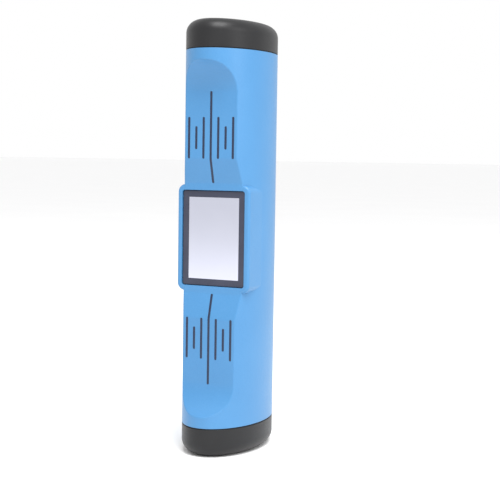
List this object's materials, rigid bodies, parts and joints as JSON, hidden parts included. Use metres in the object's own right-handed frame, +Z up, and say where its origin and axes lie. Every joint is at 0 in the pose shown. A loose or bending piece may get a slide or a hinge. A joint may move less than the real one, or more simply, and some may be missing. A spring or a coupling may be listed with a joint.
{
  "type": "pulley alignment tool",
  "caption": "Upright oval pulley alignment reflector: framed mirror between recessed line scales, moulded end caps and a magnetic foot along its side.",
  "frame": {"origin": "centre of the bounding box at the bottom, on the flat end of the lower cap", "axes": "+Z up along the housing; -Y is the way the mirror and the scales face; -X is the way the magnetic contact face looks"},
  "size_m": [0.037, 0.051, 0.169],
  "materials": {
    "housing_paint": "light blue fine-textured powder coat on cast aluminium",
    "cap_plastic": "satin, fine grain",
    "gasket_rubber": "matte",
    "screw_steel": "zinc plated",
    "mirror": "polished",
    "bezel_plastic": "satin",
    "pad_foam": "matte",
    "line_fill": "satin ink",
    "cup_steel": "nickel plated, turned",
    "magnet": "sintered, matte"
  },
  "bodies": {
    "root": {"housing": "housing_paint", "end_cap_top": "cap_plastic", "end_cap_bottom": "cap_plastic", "gasket_top": "gasket_rubber", "gasket_bottom": "gasket_rubber", "cap_screws_top": "screw_steel", "cap_screws_bottom": "screw_steel", "mirror_glass": "mirror", "mirror_bezel": "bezel_plastic", "mirror_pad": "pad_foam", "scale_lines_upper": "line_fill", "scale_lines_lower": "line_fill", "centre_line_upper": "line_fill", "centre_line_lower": "line_fill", "magnet_cup_upper": "cup_steel", "magnet_cup_middle": "cup_steel", "magnet_cup_lower": "cup_steel", "magnet_ring_upper": "magnet", "magnet_ring_middle": "magnet", "magnet_ring_lower": "magnet", "magnet_screw_upper": "screw_steel", "magnet_screw_middle": "screw_steel", "magnet_screw_lower": "screw_steel"}
  },
  "joints": []
}
